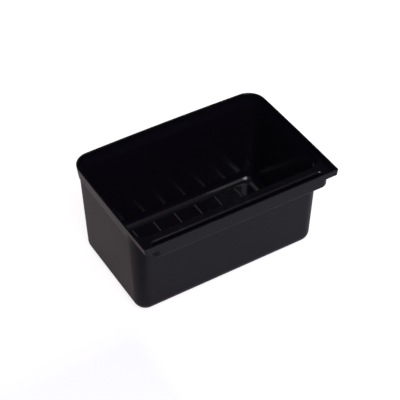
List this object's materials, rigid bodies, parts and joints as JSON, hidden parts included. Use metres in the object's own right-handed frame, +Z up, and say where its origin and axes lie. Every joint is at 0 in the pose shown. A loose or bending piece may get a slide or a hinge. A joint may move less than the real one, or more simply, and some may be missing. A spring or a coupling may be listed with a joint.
{
  "type": "cart storage bin",
  "caption": "Rectangular moulded storage tub whose rim turns over at one long side into a hook that hangs it on the edge of a utility cart.",
  "frame": {"origin": "centre of the footprint of the whole bin, on the surface that the tub stands on", "axes": "+Z up, +X along the long side, the hook on the -Y side"},
  "size_m": [0.3368, 0.2332, 0.177],
  "materials": {
    "black_plastic": "semi-gloss black moulded polypropylene"
  },
  "bodies": {
    "root": {"tub": "black_plastic", "floor_ribs": "black_plastic", "shoulder_collar": "black_plastic", "rim_lip": "black_plastic", "hook_shelf": "black_plastic", "hook_leg": "black_plastic"}
  },
  "joints": []
}
